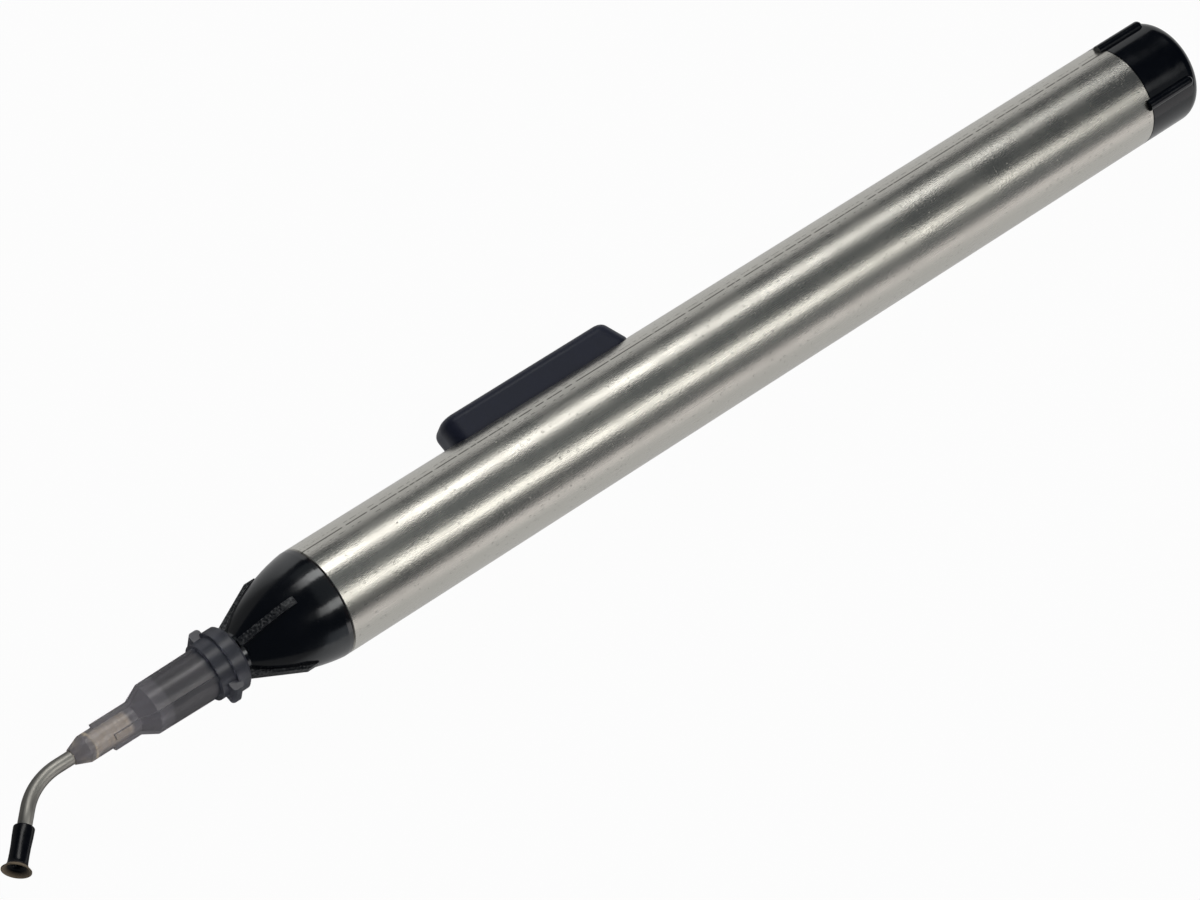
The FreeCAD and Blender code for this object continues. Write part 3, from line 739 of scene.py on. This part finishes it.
def turn_profile(form, steps):
    """Spins the whole wire profile once about the X axis into a closed shell."""
    bmesh.ops.spin(
        form, geom=form.verts[:] + form.edges[:], axis=(1.0, 0.0, 0.0), cent=(0.0, 0.0, 0.0),
        angle=math.tau, steps=steps, use_merge=True, use_duplicate=False,
    )
    bmesh.ops.remove_doubles(form, verts=form.verts[:], dist=0.0002 * MM)
    face_outwards(form)


class PEN_OT_stage(bpy.types.Operator):
    """Set up the camera, the pale floor, the studio lamps and the room"""
    bl_idname = "pen.stage"
    bl_label = "Stage"

    def execute(self, context):
        stage = context.scene.pen_stage
        self.place_camera(context.scene, stage)
        self.lay_floor(context.scene, stage)
        self.hang_softboxes(context.scene, stage)
        self.fill_room(context.scene, stage)
        context.scene.view_settings.view_transform = "Standard"
        return {"FINISHED"}

    def place_camera(self, scene, stage):
        lens = bpy.data.cameras.new("camera")
        lens.lens = stage.lens
        lens.sensor_width = 36.0
        lens.sensor_fit = "HORIZONTAL"
        lens.clip_start = 0.01
        camera = bpy.data.objects.new("camera", lens)
        camera.location = stage.camera_place
        camera.rotation_euler = stage.camera_turn
        scene.collection.objects.link(camera)
        scene.camera = camera

    def lay_floor(self, scene, stage):
        material, tree, shader, place = start_material("studio_floor")
        mottle = noise(tree, place, 30.0, 3.0, 0.6)
        paper = mix_colour(tree, mottle, tuple(stage.floor_colour), (0.70, 0.70, 0.69))
        set_shader(tree, shader, Base_Color=paper, Roughness=0.9, Specular_IOR_Level=0.1)
        path = tree.nodes.new("ShaderNodeLightPath").outputs
        along = coordinate(tree, place, "X")
        beyond = remap(tree, along, FLOOR_SHADE_START, FLOOR_SHADE_END)
        mirrored = remap(tree, beyond, 0.0, 1.0, FLOOR_MIRRORED, FLOOR_MIRRORED_BEYOND)
        mirrored = maths(tree, "MULTIPLY", path["Is Glossy Ray"], mirrored)
        through = maths(tree, "MULTIPLY", path["Is Transmission Ray"], FLOOR_THROUGH_HUB)
        seen = maths(tree, "MULTIPLY", path["Is Camera Ray"], FLOOR_SEEN)
        seen = maths(tree, "MAXIMUM", seen, maths(tree, "MAXIMUM", mirrored, through))
        shade = maths(tree, "MULTIPLY", beyond, FLOOR_DARKENED)
        shade = maths(tree, "MULTIPLY", path["Is Glossy Ray"], shade)
        glow = maths(tree, "SUBTRACT", 1.0, shade)
        white = add_node(tree, "ShaderNodeEmission", {"Color": WHITE, "Strength": glow})
        mixed = add_node(tree, "ShaderNodeMixShader", {0: seen, 1: shader.outputs[0]})
        tree.links.new(white.outputs[0], mixed.inputs[2])
        tree.links.new(mixed.outputs[0], tree.nodes["Material Output"].inputs["Surface"])
        form = bmesh.new()
        bmesh.ops.create_grid(form, x_segments=8, y_segments=8, size=stage.floor_size / 2)
        bmesh.ops.translate(form, verts=form.verts[:], vec=(0.0, 0.0, FLOOR))
        mesh = bpy.data.meshes.new("floor")
        form.to_mesh(mesh)
        form.free()
        mesh.materials.append(material)
        floor = bpy.data.objects.new("floor", mesh)
        scene.collection.objects.link(floor)

    def hang_softboxes(self, scene, stage):
        """Two rows of softboxes along the pen, dim screens between them and a low fill in front."""
        for name, azimuth, width, glow, along, boxes in SOFTBOX_ROWS:
            distance = stage.box_distance
            outward = Vector((0.0, -math.sin(azimuth), math.cos(azimuth)))
            for index, (length, share, tint) in enumerate(boxes):
                lamp = bpy.data.lights.new(f"{name}_{index + 1}", "AREA")
                lamp.shape = "RECTANGLE"
                lamp.size = length
                lamp.size_y = width * distance
                lamp.energy = glow * share * LAMP_WATTS * lamp.size * lamp.size_y
                lamp.color = tint
                box = bpy.data.objects.new(lamp.name, lamp)
                right = Vector((1.0, 0.0, 0.0))
                turn = Matrix((right, outward.cross(right), outward)).transposed()
                place = outward * distance + Vector((along + length / 2, 0.0, 0.0))
                box.matrix_world = Matrix.Translation(place) @ turn.to_4x4()
                box.visible_camera = False
                scene.collection.objects.link(box)
                along += length

    def fill_room(self, scene, stage):
        """Dim room light all round, and white behind everything that the camera sees."""
        world = bpy.data.worlds.new("room")
        world.use_nodes = True
        scene.world = world
        tree = world.node_tree
        background = tree.nodes["Background"]
        output = tree.nodes["World Output"]
        background.inputs["Color"].default_value = (*stage.room_colour, 1.0)
        background.inputs["Strength"].default_value = 1.0
        path = tree.nodes.new("ShaderNodeLightPath").outputs
        through = maths(tree, "MULTIPLY", path["Is Transmission Ray"], ROOM_THROUGH_HUB)
        seen = maths(tree, "MAXIMUM", path["Is Camera Ray"], through)
        white = add_node(tree, "ShaderNodeBackground", {"Color": WHITE, "Strength": 1.0})
        mixed = add_node(
            tree, "ShaderNodeMixShader", {0: seen, 1: background.outputs[0], 2: white.outputs[0]}
        )
        tree.links.new(mixed.outputs[0], output.inputs["Surface"])


class PEN_OT_barrel(bpy.types.Operator):
    """Finish the drawn steel barrel"""
    bl_idname = "pen.barrel"
    bl_label = "Barrel"

    def execute(self, context):
        dress("barrel", steel_material())
        return {"FINISHED"}


class PEN_OT_mouldings(bpy.types.Operator):
    """Finish the black nose cone and end cap"""
    bl_idname = "pen.mouldings"
    bl_label = "Nose Cone and End Cap"

    def execute(self, context):
        dress("nose_cone", nose_material())
        dress("end_cap", cap_material())
        return {"FINISHED"}


class PEN_OT_button(bpy.types.Operator):
    """Finish the push button"""
    bl_idname = "pen.button"
    bl_label = "Button"

    def execute(self, context):
        dress("button", button_material())
        return {"FINISHED"}


class PEN_OT_squeeze_tube(bpy.types.Operator):
    """Make the soft tube under the button, and finish the plug that closes it"""
    bl_idname = "pen.squeeze_tube"
    bl_label = "Squeeze Tube"

    def execute(self, context):
        low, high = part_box("squeeze_tube")
        outer = high.z
        inner = outer - TUBE_WALL
        form = bmesh.new()
        verts = join_up(form, [(low.x, inner), (high.x, inner), (high.x, outer), (low.x, outer)])
        round_corner(form, verts, 0.25 * MM, 3)
        turn_profile(form, 64)
        tube = add_piece("squeeze_tube_soft", form, silicone_material(), "pen")
        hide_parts("squeeze_tube")
        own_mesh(tube)
        dress("tube_plug", plug_material())
        return {"FINISHED"}


class PEN_OT_needle(bpy.types.Operator):
    """Finish the clear hub, the needle and the cement between them"""
    bl_idname = "pen.needle"
    bl_label = "Needle and Hub"

    def execute(self, context):
        dress("luer_hub", hub_material())
        dress("needle_bond", bond_material())
        form = bmesh.new()
        self.bend_tube(form)
        face_outwards(form)
        place = Matrix.Translation(NEEDLE_ELBOW) @ Matrix.Rotation(TIP_TURN, 4, "X")
        bmesh.ops.transform(form, matrix=place, verts=form.verts[:])
        needle = add_piece("needle_drawn", form, needle_material(), "tip")
        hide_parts("needle")
        return {"FINISHED"}

    def bend_tube(self, form):
        """Joins rings along the needle's outside to its tip, and back through its bore."""
        reach = NEEDLE_BEND * math.tan(NEEDLE_ANGLE / 2)
        path = [(NEEDLE_START, 0.0, 0.0)]
        for step in range(BEND_STEPS + 1):
            turned = NEEDLE_ANGLE * step / BEND_STEPS
            along = reach - NEEDLE_BEND * math.sin(turned)
            path.append((along, NEEDLE_BEND * (1.0 - math.cos(turned)), turned))
        tip = (-NEEDLE_END * math.cos(NEEDLE_ANGLE), NEEDLE_END * math.sin(NEEDLE_ANGLE))
        path.append((*tip, NEEDLE_ANGLE))
        rings = [self.ring(form, NEEDLE_RADIUS, *stop) for stop in path]
        rings += [self.ring(form, NEEDLE_BORE, *stop) for stop in reversed(path)]
        for near, far in zip(rings, rings[1:] + rings[:1]):
            for side in range(NEEDLE_SIDES):
                after = (side + 1) % NEEDLE_SIDES
                form.faces.new((near[side], near[after], far[after], far[side]))

    def ring(self, form, radius, along, up, turned):
        """One ring square to the path at a point of it, with the path's turn there."""
        verts = []
        for side in range(NEEDLE_SIDES):
            angle = math.tau * side / NEEDLE_SIDES
            beside = radius * math.sin(angle)
            above = radius * math.cos(angle)
            place = (along + above * math.sin(turned), beside, up + above * math.cos(turned))
            verts.append(form.verts.new(place))
        return verts


class PEN_OT_suction_cup(bpy.types.Operator):
    """Make the soft suction cup on the bent needle's end"""
    bl_idname = "pen.suction_cup"
    bl_label = "Suction Cup"

    def execute(self, context):
        form = bmesh.new()
        verts = join_up(form, [(station * MM, radius * MM) for station, radius in CUP_CORNERS])
        round_corner(form, [verts[index] for index in CUP_ROUNDED], 0.1 * MM, 4)
        turn_profile(form, 96)
        place = Matrix.Translation(NEEDLE_ELBOW) @ CUP_TURN.to_4x4()
        bmesh.ops.transform(form, matrix=place, verts=form.verts[:])
        cup = add_piece("suction_cup_soft", form, cup_material(), "tip")
        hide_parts("suction_cup")
        return {"FINISHED"}


class PEN_PT_panel(bpy.types.Panel):
    bl_label = "Vacuum Pick Up Pen"
    bl_idname = "PEN_PT_panel"
    bl_space_type = "VIEW_3D"
    bl_region_type = "UI"
    bl_category = "Pen"

    def draw(self, context):
        for operator in OPERATORS:
            self.layout.operator(operator.bl_idname)
        for label in SETTINGS:
            settings = getattr(context.scene, label)
            box = self.layout.box()
            for name in settings.__annotations__:
                box.prop(settings, name)


SETTINGS = {
    "pen_steel": SteelSettings,
    "pen_plastic": PlasticSettings,
    "pen_stage": StageSettings,
}
OPERATORS = (
    PEN_OT_stage,
    PEN_OT_barrel,
    PEN_OT_mouldings,
    PEN_OT_button,
    PEN_OT_squeeze_tube,
    PEN_OT_needle,
    PEN_OT_suction_cup,
)


def register():
    for group in (*SETTINGS.values(), *OPERATORS, PEN_PT_panel):
        bpy.utils.register_class(group)
    for name, group in SETTINGS.items():
        setattr(bpy.types.Scene, name, PointerProperty(type=group))


def unregister():
    for name in SETTINGS:
        delattr(bpy.types.Scene, name)
    for group in (PEN_PT_panel, *reversed(OPERATORS), *reversed(SETTINGS.values())):
        bpy.utils.unregister_class(group)


def main():
    register()
    for build in SHARED_GROUPS:
        build()
    for operator in OPERATORS:
        group, name = operator.bl_idname.split(".")
        getattr(getattr(bpy.ops, group), name)()


if __name__ == "__main__":
    main()
